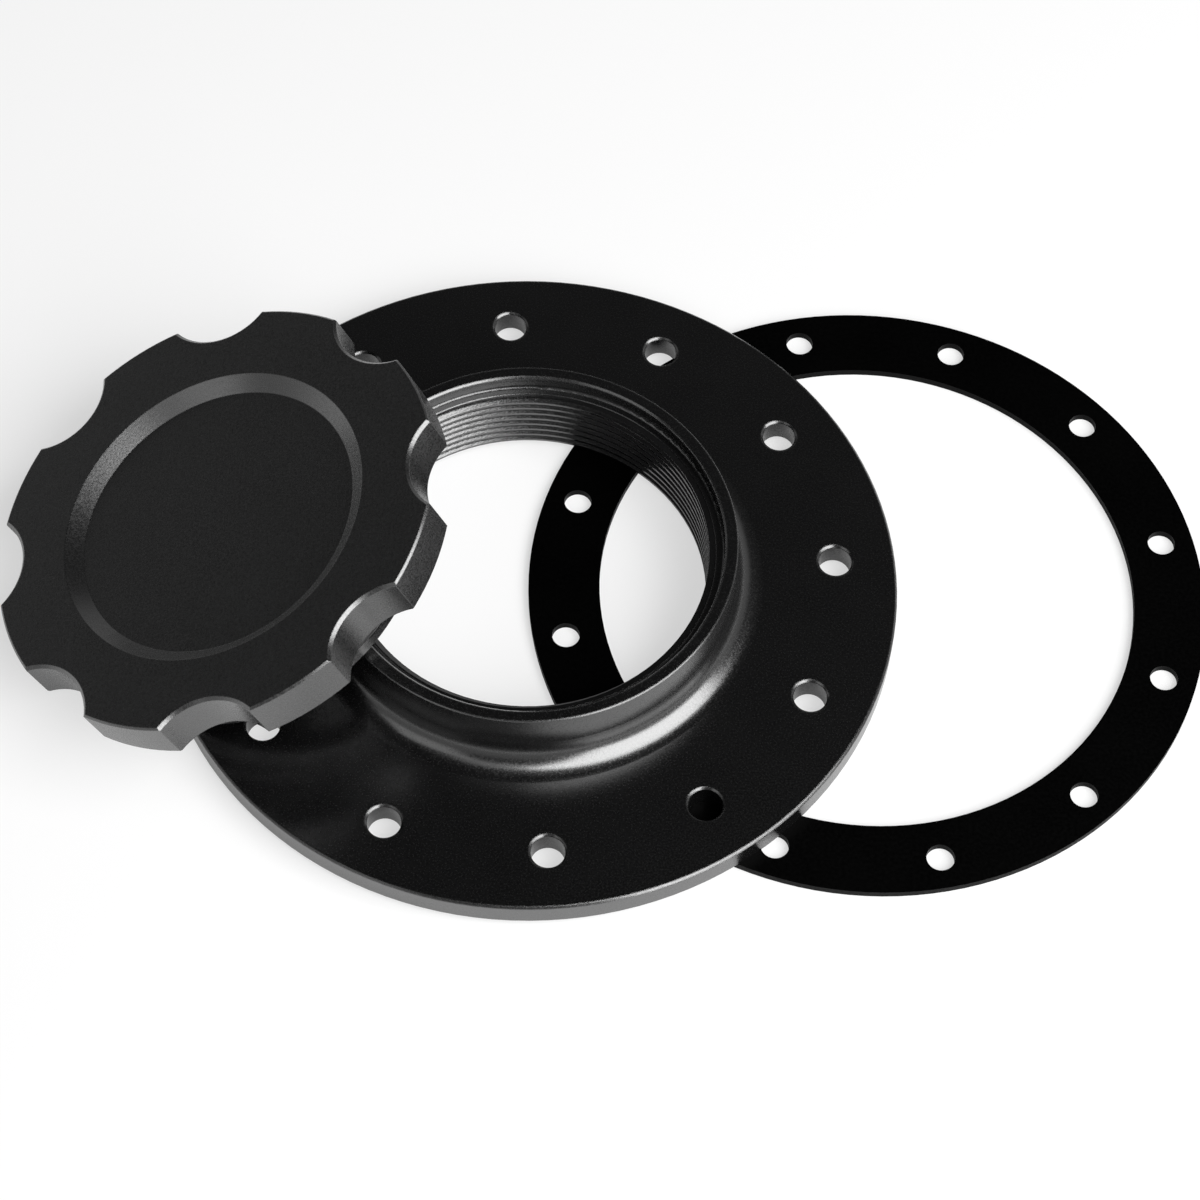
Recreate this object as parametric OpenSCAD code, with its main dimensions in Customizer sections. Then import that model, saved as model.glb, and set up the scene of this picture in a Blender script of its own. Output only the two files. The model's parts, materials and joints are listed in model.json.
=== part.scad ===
// Screw-on filler cap for a fuel cell: bolt-on flange with a threaded neck, cap, O-ring and gasket.
// Millimetres, +Z up the neck. The origin is the centre of the bolt circle on the flange's underside.
// The pieces lie as a loose set does: flange down, gasket half under it, cap off and leaning on the neck.

/* [Flange plate] */
// Diameter of the bolt circle, shared by the flange and the gasket
bolt_circle = 120.65; // [116:0.05:130]
// Width of the plate outside the bolt circle
plate_margin = 11.775; // [8:0.025:16]
// Thickness of the plate
plate_thickness = 5; // [4:0.1:7]
// Bevel round the plate's top edge
plate_edge_bevel = 0.4; // [0.2:0.05:0.8]
// Number of bolts round the circle
bolt_count = 12; // [6:1:16]
// Diameter of the flange's bolt holes
bolt_hole_diameter = 6.5; // [5.5:0.1:7.5]
// Bevel at the top of each bolt hole
bolt_hole_bevel = 0.4; // [0.2:0.05:0.8]
// Turn of the first bolt hole from +X, in degrees
bolt_turn = 6; // [0:0.5:30]

/* [Neck] */
// Full diameter of the neck's inside thread, at its roots
neck_thread_diameter = 72; // [68:0.1:76]
// Width of the ledge between the thread and the seat
ledge_width = 1.8; // [1.5:0.05:2.5]
// Width of the flat rim outside the seat
rim_width = 2.55; // [2.2:0.05:4]
// Height of the neck's rim above the flange's underside
neck_height = 18.6; // [16:0.1:26]
// Fillet between the neck and the plate
neck_fillet = 5.5; // [2:0.1:7]
// Bevel on the rim's outer edge
neck_rim_bevel = 0.2; // [0.1:0.05:0.6]
// Depth of the seat below the rim
seat_depth = 3.3; // [2:0.1:6]
// Bevel round the seat's mouth
seat_bevel = 0.4; // [0.2:0.05:0.8]
// Fillet in the seat's corner
seat_fillet = 0.5; // [0.2:0.05:0.8]
// Bevel where the thread runs out at both ends
thread_bevel = 0.25; // [0.1:0.05:1.2]

/* [Cap head] */
// How far the head's lobes stand out past the neck
head_overhang = 5.15; // [3:0.05:8]
// Thickness of the cap's head
head_thickness = 9; // [6:0.1:12]
// Number of finger scallops round the head
scallop_count = 8; // [5:1:10]
// Radius of each scallop
scallop_radius = 12; // [9:0.1:15]
// Depth of each scallop from the lobes
scallop_depth = 5; // [3:0.1:6.5]
// Bevel along the top edge of the head's lobes
head_top_bevel = 0.4; // [0.2:0.05:1]
// Bevel along the top edge of the scallops
scallop_bevel = 0.6; // [0.2:0.05:1.2]
// Bevel along the head's bottom edge
head_foot_bevel = 0.3; // [0.1:0.05:0.8]
// Diameter of the dished face at its rim
dish_diameter = 62.3; // [50:0.1:68]
// Depth of the dished face
dish_depth = 2.45; // [1:0.05:3]
// Width of the dished face's sloping wall
dish_slope = 2.95; // [1:0.05:5]

/* [Cap plug] */
// Play between the plug's plain shoulder and the neck's seat, on each side
shoulder_play = 0.8; // [0.5:0.05:1]
// Length of the shoulder below the head
shoulder_length = 5.2; // [4.6:0.1:6.2]
// Bevel on the shoulder's lower edge
shoulder_bevel = 0.5; // [0.2:0.05:1]
// Depth from the roots of the neck's thread to the core of the plug's
thread_depth = 1.2; // [1.1:0.05:1.6]
// Length of the whole plug below the head
plug_length = 10.7; // [9:0.1:18]
// Wall of the plug round its hollow
plug_wall = 4.8; // [3:0.1:8]
// Rounding in the bottom corner of the hollow
plug_bore_rounding = 2; // [0.5:0.1:4]
// Bevel on the plug's inner end edge
plug_end_bevel = 0.3; // [0.1:0.05:0.8]
// Bevel on the plug's outer end edge, where the thread starts
plug_lead_bevel = 0.5; // [0.3:0.05:1.5]

/* [O-ring] */
// Thickness of the O-ring's round section
o_ring_section = 2.6; // [2.2:0.1:3.6]
// Free play of the O-ring against the head and the shoulder
o_ring_play = 0.04; // [0.02:0.01:0.1]

/* [Gasket] */
// Width of the gasket outside the bolt circle
gasket_outer_margin = 6.375; // [5:0.025:9]
// Width of the gasket inside the bolt circle
gasket_inner_margin = 7.625; // [5:0.025:10]
// Thickness of the gasket
gasket_thickness = 1.6; // [0.8:0.1:3]
// Diameter of the gasket's bolt holes
gasket_hole_diameter = 5.4; // [4.5:0.1:7]

/* [Where the loose pieces lie] */
// Distance from the neck's axis to the gasket's centre
gasket_reach = 66.7; // [60:0.1:75]
// Direction of the gasket's centre from +X, in degrees
gasket_heading = 2.8; // [-10:0.1:10]
// Turn of the gasket's bolt holes against the flange's, in degrees
gasket_turn = 6.8; // [0:0.1:15]
// Distance from the neck's axis to the centre of the leaning plug's end
cap_reach = 52.4; // [49:0.1:54]
// Direction in which the cap leans outwards, from +X, in degrees
cap_heading = 183.9; // [170:0.1:200]
// Turn of the scallops about the cap's own axis, in degrees
cap_turn = 44.6; // [0:0.1:45]
// Play between the leaning cap and the two edges that carry it
lean_play = 0.35; // [0.05:0.05:0.5]

/* [Hidden] */
$fn = 96;
cut_margin = 1;

// The plate and the gasket follow from the bolt circle
bolt_circle_radius = bolt_circle / 2;
plate_radius = bolt_circle_radius + plate_margin;

// The seat, the neck and the cap all follow from the thread's size
thread_radius = neck_thread_diameter / 2;
seat_radius = thread_radius + ledge_width;
neck_radius = seat_radius + rim_width;
head_radius = neck_radius + head_overhang;
shoulder_radius = seat_radius - shoulder_play;
core_radius = thread_radius - thread_depth;
bore_radius = core_radius - plug_wall;

o_ring_radius = shoulder_radius + o_ring_play + o_ring_section / 2;
o_ring_depth = head_thickness + o_ring_play + o_ring_section / 2;
cap_length = head_thickness + plug_length;
scallop_centre = head_radius - scallop_depth + scallop_radius;

// The plug's flat end ring leans on two round edges: the neck's rim and the plate's top edge.
// It touches both with the inner edge of that ring.
end_ring_radius = bore_radius + plug_end_bevel;
rim_edge_radius = neck_radius - neck_rim_bevel;
plate_edge_radius = plate_radius - plate_edge_bevel;

// Distance from the neck's axis, along the cap's heading, of the point where the end ring,
// tilted by tilt, crosses over a round edge of the given radius
function crossing(edge_radius, tilt) =
    let (squeeze = 1 / pow(cos(tilt), 2) - 1)
    let (across = 2 * cap_reach * (squeeze + 1))
    let (rest = edge_radius * edge_radius - end_ring_radius * end_ring_radius
        + cap_reach * cap_reach * (squeeze + 1))
    (across - sqrt(across * across - 4 * squeeze * rest)) / (2 * squeeze);

// The tilt at which the end ring touches both edges, closed in on in a few rounds
function lean(tilt, rounds) =
    rounds == 0 ? tilt : lean(atan2(neck_height - plate_thickness,
        crossing(plate_edge_radius, tilt) - crossing(rim_edge_radius, tilt)), rounds - 1);

cap_lean = lean(20, 12);
cap_end_height = plate_thickness + lean_play / cos(cap_lean)
    + (crossing(plate_edge_radius, cap_lean) - cap_reach) * tan(cap_lean);

// Flange

module neck_profile() {
    plate_top = plate_thickness;
    fillet = min(neck_fillet, neck_height - plate_thickness - neck_rim_bevel);
    difference() {
        polygon([
            [0, 0],
            [plate_radius, 0],
            [plate_radius, plate_top - plate_edge_bevel],
            [plate_radius - plate_edge_bevel, plate_top],
            [neck_radius + fillet, plate_top],
            [neck_radius, plate_top + fillet],
            [neck_radius, neck_height - neck_rim_bevel],
            [neck_radius - neck_rim_bevel, neck_height],
            [0, neck_height]
        ]);
        translate([neck_radius + fillet, plate_top + fillet]) circle(r = fillet);
    }
}

module neck_bore_profile() {
    seat_floor = neck_height - seat_depth;
    fillet = min(seat_fillet, shoulder_play);
    difference() {
        polygon([
            [0, -cut_margin],
            [thread_radius + thread_bevel + cut_margin, -cut_margin],
            [thread_radius, thread_bevel],
            [thread_radius, seat_floor - thread_bevel],
            [thread_radius + thread_bevel, seat_floor],
            [seat_radius, seat_floor],
            [seat_radius, neck_height - seat_bevel],
            [seat_radius + seat_bevel + cut_margin, neck_height + cut_margin],
            [0, neck_height + cut_margin]
        ]);
        difference() {
            translate([seat_radius - fillet, seat_floor]) square([fillet + cut_margin, fillet]);
            translate([seat_radius - fillet, seat_floor + fillet]) circle(r = fillet);
        }
    }
}

module bolt_positions() {
    for (i = [0 : bolt_count - 1])
        rotate(bolt_turn + i * 360 / bolt_count)
            translate([bolt_circle_radius, 0]) children();
}

module flange() {
    hole_radius = bolt_hole_diameter / 2;
    color([0.08, 0.08, 0.085]) difference() {
        rotate_extrude() difference() {
            neck_profile();
            neck_bore_profile();
        }
        bolt_positions() {
            translate([0, 0, -cut_margin])
                cylinder(r = hole_radius, h = plate_thickness + 2 * cut_margin);
            translate([0, 0, plate_thickness - bolt_hole_bevel])
                cylinder(r1 = hole_radius, r2 = hole_radius + bolt_hole_bevel + cut_margin,
                    h = bolt_hole_bevel + cut_margin);
        }
    }
}

// Gasket

module gasket() {
    color([0.02, 0.02, 0.02])
        rotate(gasket_heading) translate([gasket_reach, 0, -gasket_thickness])
            rotate(gasket_turn - gasket_heading)
                linear_extrude(gasket_thickness) difference() {
                    circle(r = bolt_circle_radius + gasket_outer_margin);
                    circle(r = bolt_circle_radius - gasket_inner_margin);
                    bolt_positions() circle(d = gasket_hole_diameter);
                }
}

// Cap: drawn screwed up on its own axis, with the middle of its top face at the origin

module leaning() {
    rotate(cap_heading) translate([cap_reach, 0, cap_end_height]) rotate([0, cap_lean, 0])
        translate([0, 0, cap_length]) rotate(cap_turn) children();
}

module cap_profile() {
    dish_radius = dish_diameter / 2;
    difference() {
        polygon([
            [0, 0],
            [head_radius - head_top_bevel, 0],
            [head_radius, -head_top_bevel],
            [head_radius, -head_thickness + head_foot_bevel],
            [head_radius - head_foot_bevel, -head_thickness],
            [shoulder_radius, -head_thickness],
            [shoulder_radius, -head_thickness - shoulder_length + shoulder_bevel],
            [shoulder_radius - shoulder_bevel, -head_thickness - shoulder_length],
            [core_radius, -head_thickness - shoulder_length],
            [core_radius, -cap_length + plug_lead_bevel],
            [core_radius - plug_lead_bevel, -cap_length],
            [0, -cap_length]
        ]);
        polygon([
            [0, cut_margin],
            [dish_radius, cut_margin],
            [dish_radius, 0],
            [dish_radius - dish_slope, -dish_depth],
            [0, -dish_depth]
        ]);
        plug_hollow_profile();
    }
}

module plug_hollow_profile() {
    difference() {
        polygon([
            [0, -head_thickness],
            [bore_radius, -head_thickness],
            [bore_radius, -cap_length + plug_end_bevel],
            [bore_radius + plug_end_bevel + cut_margin, -cap_length - cut_margin],
            [0, -cap_length - cut_margin]
        ]);
        difference() {
            translate([bore_radius - plug_bore_rounding, -head_thickness - plug_bore_rounding])
                square(plug_bore_rounding + cut_margin);
            translate([bore_radius - plug_bore_rounding, -head_thickness - plug_bore_rounding])
                circle(r = plug_bore_rounding);
        }
    }
}

module scallop_cut() {
    translate([scallop_centre, 0]) rotate_extrude() polygon([
        [0, -head_thickness - cut_margin],
        [scallop_radius, -head_thickness - cut_margin],
        [scallop_radius, -scallop_bevel],
        [scallop_radius + scallop_bevel + cut_margin, cut_margin],
        [0, cut_margin]
    ]);
}

module cap() {
    color([0.14, 0.14, 0.145]) leaning() difference() {
        rotate_extrude() cap_profile();
        for (i = [0 : scallop_count - 1])
            rotate(i * 360 / scallop_count) scallop_cut();
    }
}

module cap_o_ring() {
    color([0.03, 0.03, 0.03]) leaning()
        translate([0, 0, -o_ring_depth]) rotate_extrude()
            translate([o_ring_radius, 0]) circle(d = o_ring_section);
}

flange();
gasket();
cap_o_ring();
cap();
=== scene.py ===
# A screw-on filler cap for a fuel cell, in black anodised aluminium: bolt-on flange with a threaded
# neck, the cap taken off and leaning on the neck, its O-ring, and the flange's rubber gasket.
# Metres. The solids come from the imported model; this file gives them their finish, the threads, the
# studio and the camera.

import json
import math

import bmesh
import bpy
from mathutils import Matrix, Vector


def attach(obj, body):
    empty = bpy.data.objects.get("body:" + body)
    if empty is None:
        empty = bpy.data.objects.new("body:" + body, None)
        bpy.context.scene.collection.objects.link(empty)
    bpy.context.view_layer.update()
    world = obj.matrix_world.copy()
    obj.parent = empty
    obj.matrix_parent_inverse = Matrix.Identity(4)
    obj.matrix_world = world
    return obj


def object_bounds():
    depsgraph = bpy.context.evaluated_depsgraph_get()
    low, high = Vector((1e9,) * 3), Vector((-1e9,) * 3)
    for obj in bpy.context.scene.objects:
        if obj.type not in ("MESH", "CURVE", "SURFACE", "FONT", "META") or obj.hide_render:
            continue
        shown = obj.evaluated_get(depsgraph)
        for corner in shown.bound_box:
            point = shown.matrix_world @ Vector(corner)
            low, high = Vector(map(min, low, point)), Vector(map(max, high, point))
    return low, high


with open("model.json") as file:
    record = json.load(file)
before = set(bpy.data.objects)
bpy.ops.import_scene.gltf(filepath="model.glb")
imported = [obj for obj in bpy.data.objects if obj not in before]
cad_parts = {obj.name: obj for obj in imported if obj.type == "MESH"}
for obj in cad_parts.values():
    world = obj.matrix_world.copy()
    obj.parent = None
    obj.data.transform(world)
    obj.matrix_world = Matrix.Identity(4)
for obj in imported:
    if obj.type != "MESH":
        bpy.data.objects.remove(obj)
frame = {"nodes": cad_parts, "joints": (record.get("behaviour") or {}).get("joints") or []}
cad_low, cad_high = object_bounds()
nodes = frame["nodes"]


# Flange
# One piece of aluminium, turned to a 5 mm plate with an 18.6 mm neck, drilled for twelve bolts,
# blasted with fine beads to a satin grain and anodised black. The neck runs into the plate in a
# 5.5 mm fillet. The tank's twelve 1/4 in studs or bolts hold it down.

def new_material(name):
    """An empty material with its shader and output, ready for the finish to be wired in."""
    material = bpy.data.materials.new(name)
    material.use_nodes = True
    tree = material.node_tree
    tree.nodes.clear()
    shader = tree.nodes.new("ShaderNodeBsdfPrincipled")
    output = tree.nodes.new("ShaderNodeOutputMaterial")
    tree.links.new(shader.outputs["BSDF"], output.inputs["Surface"])
    return material, tree, shader


def surface_noise(tree, cells_per_metre, detail, roughness=0.5):
    """Noise fixed to the piece itself, so that it moves with the piece."""
    place = tree.nodes.new("ShaderNodeTexCoord")
    noise = tree.nodes.new("ShaderNodeTexNoise")
    noise.inputs["Scale"].default_value = cells_per_metre
    noise.inputs["Detail"].default_value = detail
    noise.inputs["Roughness"].default_value = roughness
    tree.links.new(place.outputs["Object"], noise.inputs["Vector"])
    return noise


def spread(tree, source, low, high):
    """The noise's middle, where nearly all of it lies, stretched to run from low to high."""
    spreader = tree.nodes.new("ShaderNodeMapRange")
    spreader.inputs["From Min"].default_value = 0.35
    spreader.inputs["From Max"].default_value = 0.65
    spreader.inputs["To Min"].default_value = low
    spreader.inputs["To Max"].default_value = high
    tree.links.new(source, spreader.inputs["Value"])
    return spreader.outputs["Result"]


def two_tone(tree, factor, dark, light):
    """A colour that runs between two tones with the factor."""
    tones = tree.nodes.new("ShaderNodeMix")
    tones.data_type = "RGBA"
    tones.inputs["A"].default_value = (*dark, 1)
    tones.inputs["B"].default_value = (*light, 1)
    tree.links.new(factor, tones.inputs["Factor"])
    return tones.outputs["Result"]


def black_anodising(name, dark, light, dullness, grain_height, edge, ior):
    """Dyed black anodising over bead-blasted aluminium: a slightly cloudy dye, a fine grain in the
    relief and in the gloss, and edges rounded by the blasting to the radius edge. The photograph's
    highlights set ior, a little higher than the oxide's own 1.7."""
    material, tree, shader = new_material(name)
    cloud = surface_noise(tree, cells_per_metre=90, detail=3)
    grain = surface_noise(tree, cells_per_metre=2600, detail=2, roughness=0.6)
    tone = two_tone(tree, spread(tree, cloud.outputs["Fac"], 0, 1), dark, light)
    tree.links.new(tone, shader.inputs["Base Color"])
    shader.inputs["IOR"].default_value = ior
    satin = spread(tree, grain.outputs["Fac"], dullness - 0.05, dullness + 0.05)
    tree.links.new(satin, shader.inputs["Roughness"])
    edges = tree.nodes.new("ShaderNodeBevel")
    edges.samples = 4
    edges.inputs["Radius"].default_value = edge
    relief = tree.nodes.new("ShaderNodeBump")
    relief.inputs["Strength"].default_value = 1.0
    relief.inputs["Distance"].default_value = grain_height
    tree.links.new(grain.outputs["Fac"], relief.inputs["Height"])
    tree.links.new(edges.outputs["Normal"], relief.inputs["Normal"])
    tree.links.new(relief.outputs["Normal"], shader.inputs["Normal"])
    return material


def dress(node_name, material):
    """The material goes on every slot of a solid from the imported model."""
    mesh = nodes[node_name].data
    if not mesh.materials:
        mesh.materials.append(material)
    for i in range(len(mesh.materials)):
        mesh.materials[i] = material


flange_finish = black_anodising(
    "flange_black_anodising", dark=(0.0006, 0.0006, 0.0007), light=(0.0014, 0.0014, 0.0015),
    dullness=0.23, grain_height=0.000009, edge=0.0004, ior=2.1)
dress("flange", flange_finish)


# Thread inside the neck
# A trapezoidal thread of 14 turns to the inch, cut into the neck's bore from the seat down to the
# underside. Its crests are 0.5 mm wide, and its flanks lean 27 degrees. It is anodised with the
# flange, and the cap has rubbed it a little lighter and shinier.

thread_pitch = 0.0254 / 14
flank_lean = math.radians(27)


def thread_ridge(name, wall, crest, low, high, fade_turns, ends=None):
    """A closed ridge with a flat crest that winds up a round wall, right-handed. It is sunk 0.05 mm
    into the wall, and at both ends it comes up out of it over fade_turns, from lowest_rise of its
    height, so that no face shrinks to nothing. With ends, it is cut off flat at those two heights."""
    sunk = 0.00005 if crest < wall else -0.00005
    flank = abs(crest - wall - sunk) * math.tan(flank_lean)
    half_crest = thread_pitch / 7
    turns = (high - low) / thread_pitch
    steps_per_turn = 96
    steps = int(turns * steps_per_turn)
    lowest_rise = 0.06
    form = bmesh.new()
    rings = []
    for i in range(steps + 1):
        turn = turns * i / steps
        angle = 2 * math.pi * turn
        middle = low + (high - low) * i / steps
        rise = min(1, turn / fade_turns, (turns - turn) / fade_turns)
        rise = lowest_rise + (1 - lowest_rise) * rise * rise * (3 - 2 * rise)
        foot = wall + sunk
        top = foot + (crest - foot) * rise
        half_foot = half_crest + flank * rise
        section = [(foot, -half_foot), (top, -half_crest), (top, half_crest), (foot, half_foot)]
        rings.append([
            form.verts.new((r * math.cos(angle), r * math.sin(angle), middle + z))
            for r, z in section
        ])
    for before, after in zip(rings, rings[1:]):
        for k in range(4):
            form.faces.new((before[k], before[(k + 1) % 4], after[(k + 1) % 4], after[k]))
    form.faces.new(rings[0])
    form.faces.new(list(reversed(rings[-1])))
    for height, keep_above in zip(ends or (), (True, False)):
        cut = bmesh.ops.bisect_plane(
            form, geom=form.verts[:] + form.edges[:] + form.faces[:], dist=0.000001,
            plane_co=(0, 0, height), plane_no=(0, 0, 1), clear_inner=keep_above,
            clear_outer=not keep_above)
        rim = [part for part in cut["geom_cut"] if isinstance(part, bmesh.types.BMEdge)]
        bmesh.ops.triangle_fill(form, edges=rim, use_beauty=True)
    bmesh.ops.recalc_face_normals(form, faces=form.faces)
    mesh = bpy.data.meshes.new(name)
    form.to_mesh(mesh)
    form.free()
    ridge = bpy.data.objects.new(name, mesh)
    bpy.context.scene.collection.objects.link(ridge)
    return ridge


def smooth_along(ridge):
    """Smooth along the ridge, sharp across its corners."""
    ridge.data.polygons.foreach_set("use_smooth", [True] * len(ridge.data.polygons))
    ridge.data.set_sharp_from_angle(angle=math.radians(24))


thread_finish = black_anodising(
    "thread_black_anodising", dark=(0.0010, 0.0010, 0.0011), light=(0.0030, 0.0030, 0.0032),
    dullness=0.20, grain_height=0.00002, edge=0.00006, ior=2.1)
neck_thread = thread_ridge(
    "neck_thread", wall=0.036, crest=0.0349, low=-0.0012, high=0.0164, fade_turns=0.1,
    ends=(0.00015, 0.0152))
smooth_along(neck_thread)
neck_thread.data.materials.append(thread_finish)
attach(neck_thread, "flange")


# Gasket
# A flat ring die-cut from 1.6 mm black fuel-proof rubber sheet, with twelve holes punched through it.
# It goes between the plate and the tank; here it lies half under the plate.

def black_rubber(name, dark, light, dullness, grains_per_metre, grain_height, sheen):
    """Matt black rubber with a faint cloud in its tone and a fine grain."""
    material, tree, shader = new_material(name)
    cloud = surface_noise(tree, cells_per_metre=60, detail=3)
    grain = surface_noise(tree, cells_per_metre=grains_per_metre, detail=2)
    tone = two_tone(tree, spread(tree, cloud.outputs["Fac"], 0, 1), dark, light)
    tree.links.new(tone, shader.inputs["Base Color"])
    shader.inputs["IOR"].default_value = 1.45
    shader.inputs["Specular IOR Level"].default_value = sheen
    matt = spread(tree, grain.outputs["Fac"], dullness - 0.06, dullness + 0.06)
    tree.links.new(matt, shader.inputs["Roughness"])
    relief = tree.nodes.new("ShaderNodeBump")
    relief.inputs["Strength"].default_value = 1.0
    relief.inputs["Distance"].default_value = grain_height
    tree.links.new(grain.outputs["Fac"], relief.inputs["Height"])
    tree.links.new(relief.outputs["Normal"], shader.inputs["Normal"])
    return material


gasket_finish = black_rubber(
    "gasket_black_rubber", dark=(0.0001, 0.0001, 0.0001), light=(0.0004, 0.0004, 0.0004),
    dullness=0.42, grains_per_metre=1500, grain_height=0.000006, sheen=0.06)
dress("gasket", gasket_finish)


# Cap
# One piece of aluminium, turned with a dished face, milled with eight finger scallops, blasted and
# anodised black. Its hollow plug screws into the neck. It leans on the neck's rim and on the plate.

# The cap's tone is set lighter than the flange's. This is painted light, standing in for the brighter
# light that falls on its tilted top.
cap_finish = black_anodising(
    "cap_black_anodising", dark=(0.0018, 0.0018, 0.0019), light=(0.0030, 0.0030, 0.0032),
    dullness=0.28, grain_height=0.000010, edge=0.00025, ior=2.2)
dress("cap", cap_finish)


# Thread on the cap's plug
# The mate of the neck's thread, with the same pitch and flanks. It is cut below the plug's plain
# shoulder and runs out 1.5 mm above the plug's lower edge.

head_thickness = 0.0090


def on_the_cap(piece):
    """Moves a piece drawn on a vertical axis, its origin at the middle of the cap's top face, to the
    leaning cap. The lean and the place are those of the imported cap."""
    turn_joint = next(joint for joint in frame["joints"] if joint["name"] == "cap_turn")
    axis = Vector(turn_joint["axis"]).normalized()
    head_underside = Vector(turn_joint["pos_m"])
    top_face = head_underside + axis * head_thickness
    upright = Vector((0, 0, 1)).rotation_difference(axis).to_matrix().to_4x4()
    piece.data.transform(Matrix.Translation(top_face) @ upright)
    return piece


plug_thread = on_the_cap(thread_ridge(
    "plug_thread", wall=0.0348, crest=0.0355, low=-0.0179, high=-0.0149, fade_turns=0.5))
smooth_along(plug_thread)
plug_thread.data.materials.append(thread_finish)
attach(plug_thread, "cap")


# O-ring
# A moulded ring of 2.6 mm black rubber, pushed up the plug's shoulder against the underside of the
# head. It is a little shinier than the gasket.

o_ring_finish = black_rubber(
    "o_ring_black_rubber", dark=(0.0060, 0.0060, 0.0060), light=(0.0100, 0.0100, 0.0100),
    dullness=0.36, grains_per_metre=1800, grain_height=0.000004, sheen=0.5)
dress("cap_o_ring", o_ring_finish)


# Studio
# A white table in a room with white walls and a dark ceiling, so that the black metal stays black on
# top while its sides mirror the white table. A big soft box lights the parts from the right front,
# a weak one from the left front and a weaker one from behind the camera.

def seen_rays(tree, mirror_share):
    """1 where the camera looks, directly or through glass, mirror_share where it looks in a mirror,
    and 0 for plain light. In the photograph the black metal mirrors its white surroundings as grey."""
    path = tree.nodes.new("ShaderNodeLightPath")
    first = tree.nodes.new("ShaderNodeMath")
    first.operation = "MAXIMUM"
    tree.links.new(path.outputs["Is Camera Ray"], first.inputs[0])
    in_a_mirror = tree.nodes.new("ShaderNodeMath")
    in_a_mirror.operation = "MULTIPLY"
    in_a_mirror.inputs[1].default_value = mirror_share
    tree.links.new(path.outputs["Is Glossy Ray"], in_a_mirror.inputs[0])
    tree.links.new(in_a_mirror.outputs["Value"], first.inputs[1])
    both = tree.nodes.new("ShaderNodeMath")
    both.operation = "MAXIMUM"
    tree.links.new(first.outputs["Value"], both.inputs[0])
    tree.links.new(path.outputs["Is Transmission Ray"], both.inputs[1])
    return both.outputs["Value"]


def white_table(share_of_light):
    """The table's own white where it is looked at, with the object's shadow kept in the rest. From
    0.4 m to 1.2 m out, where no shadow falls, it turns to all its own white."""
    material = bpy.data.materials.new("white_table")
    material.use_nodes = True
    tree = material.node_tree
    tree.nodes.clear()
    paint = tree.nodes.new("ShaderNodeBsdfDiffuse")
    paint.inputs["Color"].default_value = (0.90, 0.90, 0.90, 1)
    white = tree.nodes.new("ShaderNodeEmission")
    white.inputs["Strength"].default_value = 1.0
    looked_at = seen_rays(tree, mirror_share=0.45)
    place = tree.nodes.new("ShaderNodeTexCoord")
    metres_out = tree.nodes.new("ShaderNodeVectorMath")
    metres_out.operation = "LENGTH"
    tree.links.new(place.outputs["Object"], metres_out.inputs[0])
    own_white = tree.nodes.new("ShaderNodeMapRange")
    own_white.inputs["From Min"].default_value = 0.4
    own_white.inputs["From Max"].default_value = 1.2
    own_white.inputs["To Min"].default_value = 1 - share_of_light
    own_white.inputs["To Max"].default_value = 1.0
    tree.links.new(metres_out.outputs["Value"], own_white.inputs["Value"])
    share = tree.nodes.new("ShaderNodeMath")
    share.operation = "MULTIPLY"
    tree.links.new(looked_at, share.inputs[0])
    tree.links.new(own_white.outputs["Result"], share.inputs[1])
    mixed = tree.nodes.new("ShaderNodeMixShader")
    output = tree.nodes.new("ShaderNodeOutputMaterial")
    tree.links.new(share.outputs["Value"], mixed.inputs["Fac"])
    tree.links.new(paint.outputs["BSDF"], mixed.inputs[1])
    tree.links.new(white.outputs["Emission"], mixed.inputs[2])
    tree.links.new(mixed.outputs["Shader"], output.inputs["Surface"])
    return material


table_mesh = bpy.data.meshes.new("white_table")
table_half_width = 4.0
table_top = cad_low[2]
table_mesh.from_pydata(
    [(-table_half_width, -table_half_width, table_top),
     (table_half_width, -table_half_width, table_top),
     (table_half_width, table_half_width, table_top),
     (-table_half_width, table_half_width, table_top)],
    [], [(0, 1, 2, 3)])
table_mesh.materials.append(white_table(share_of_light=0.40))
table = bpy.data.objects.new("white_table", table_mesh)
bpy.context.scene.collection.objects.link(table)

world = bpy.data.worlds.new("studio")
bpy.context.scene.world = world
world.use_nodes = True
sky = world.node_tree
sky.nodes.clear()
sky_place = sky.nodes.new("ShaderNodeTexCoord")
sky_axes = sky.nodes.new("ShaderNodeSeparateXYZ")
sky.links.new(sky_place.outputs["Generated"], sky_axes.inputs["Vector"])
walls_and_ceiling = sky.nodes.new("ShaderNodeValToRGB")
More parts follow.
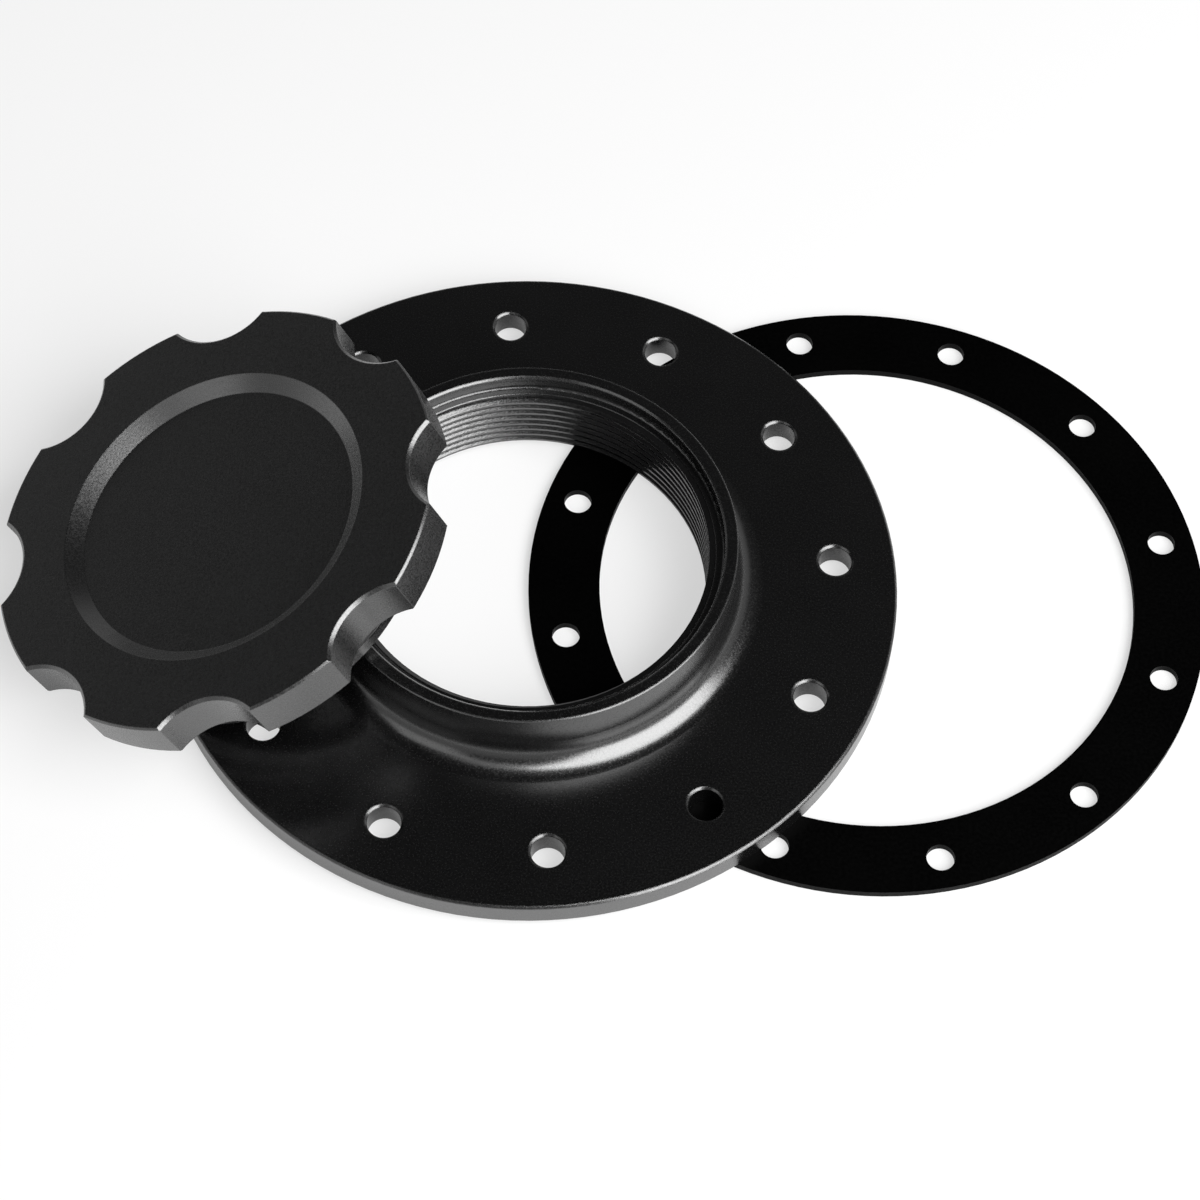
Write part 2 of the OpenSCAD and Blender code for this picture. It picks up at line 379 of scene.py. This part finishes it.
# Height is 0 at the horizon and 1 straight overhead.
brightness_by_height = [
    (0.04, 1.0), (0.33, 0.81), (0.50, 0.12), (0.72, 0.12), (0.82, 0.083), (0.90, 0.028)]
marks = walls_and_ceiling.color_ramp.elements
marks.remove(marks[1])
for stop, (height, brightness) in enumerate(brightness_by_height):
    mark = marks[0] if stop == 0 else marks.new(height)
    mark.position = height
    mark.color = (brightness, brightness, brightness, 1)
sky.links.new(sky_axes.outputs["Z"], walls_and_ceiling.inputs["Fac"])
backdrop = sky.nodes.new("ShaderNodeBackground")
sky.links.new(walls_and_ceiling.outputs["Color"], backdrop.inputs["Color"])
sky.links.new(seen_rays(sky, mirror_share=0.42), backdrop.inputs["Strength"])
sky_output = sky.nodes.new("ShaderNodeOutputWorld")
sky.links.new(backdrop.outputs["Background"], sky_output.inputs["Surface"])


def soft_lamp(name, azimuth, elevation, distance, width, height, watts):
    """A rectangular soft box that faces the flange. Azimuth is from +X, turning towards +Y."""
    lamp = bpy.data.lights.new(name, "AREA")
    lamp.shape = "RECTANGLE"
    lamp.size = width
    lamp.size_y = height
    lamp.energy = watts
    holder = bpy.data.objects.new(name, lamp)
    turned = math.radians(azimuth)
    raised = math.radians(elevation)
    back = Vector((
        math.cos(turned) * math.cos(raised), math.sin(turned) * math.cos(raised), math.sin(raised)))
    holder.location = back * distance
    holder.rotation_mode = "QUATERNION"
    holder.rotation_quaternion = back.to_track_quat("Z", "Y")
    bpy.context.scene.collection.objects.link(holder)


soft_lamp("key_lamp", azimuth=-35, elevation=43.5, distance=1.0, width=1.05, height=0.95, watts=20.5)
soft_lamp("fill_lamp", azimuth=-134, elevation=36, distance=1.0, width=0.55, height=0.45, watts=0.7)
soft_lamp("front_lamp", azimuth=-97, elevation=54, distance=1.0, width=0.5, height=0.35, watts=0.35)


# Camera
# A long lens 0.65 m from the parts, looking down on them from the front at 58 degrees and held 2
# degrees askew, as in the photograph.

lens_data = bpy.data.cameras.new("camera")
lens_data.sensor_width = 36
lens_data.lens = 99.44
lens_data.clip_start = 0.01
lens_data.clip_end = 50
camera = bpy.data.objects.new("camera", lens_data)
bpy.context.scene.collection.objects.link(camera)
look_down = math.radians(58.49)
askew = math.radians(2.22)
camera.matrix_world = (
    Matrix.Translation((0.014158, -0.341834, 0.554692))
    @ Matrix.Rotation(math.pi / 2 - look_down, 4, "X")
    @ Matrix.Rotation(askew, 4, "Z")
)
bpy.context.scene.camera = camera
bpy.context.scene.view_settings.view_transform = "Standard"
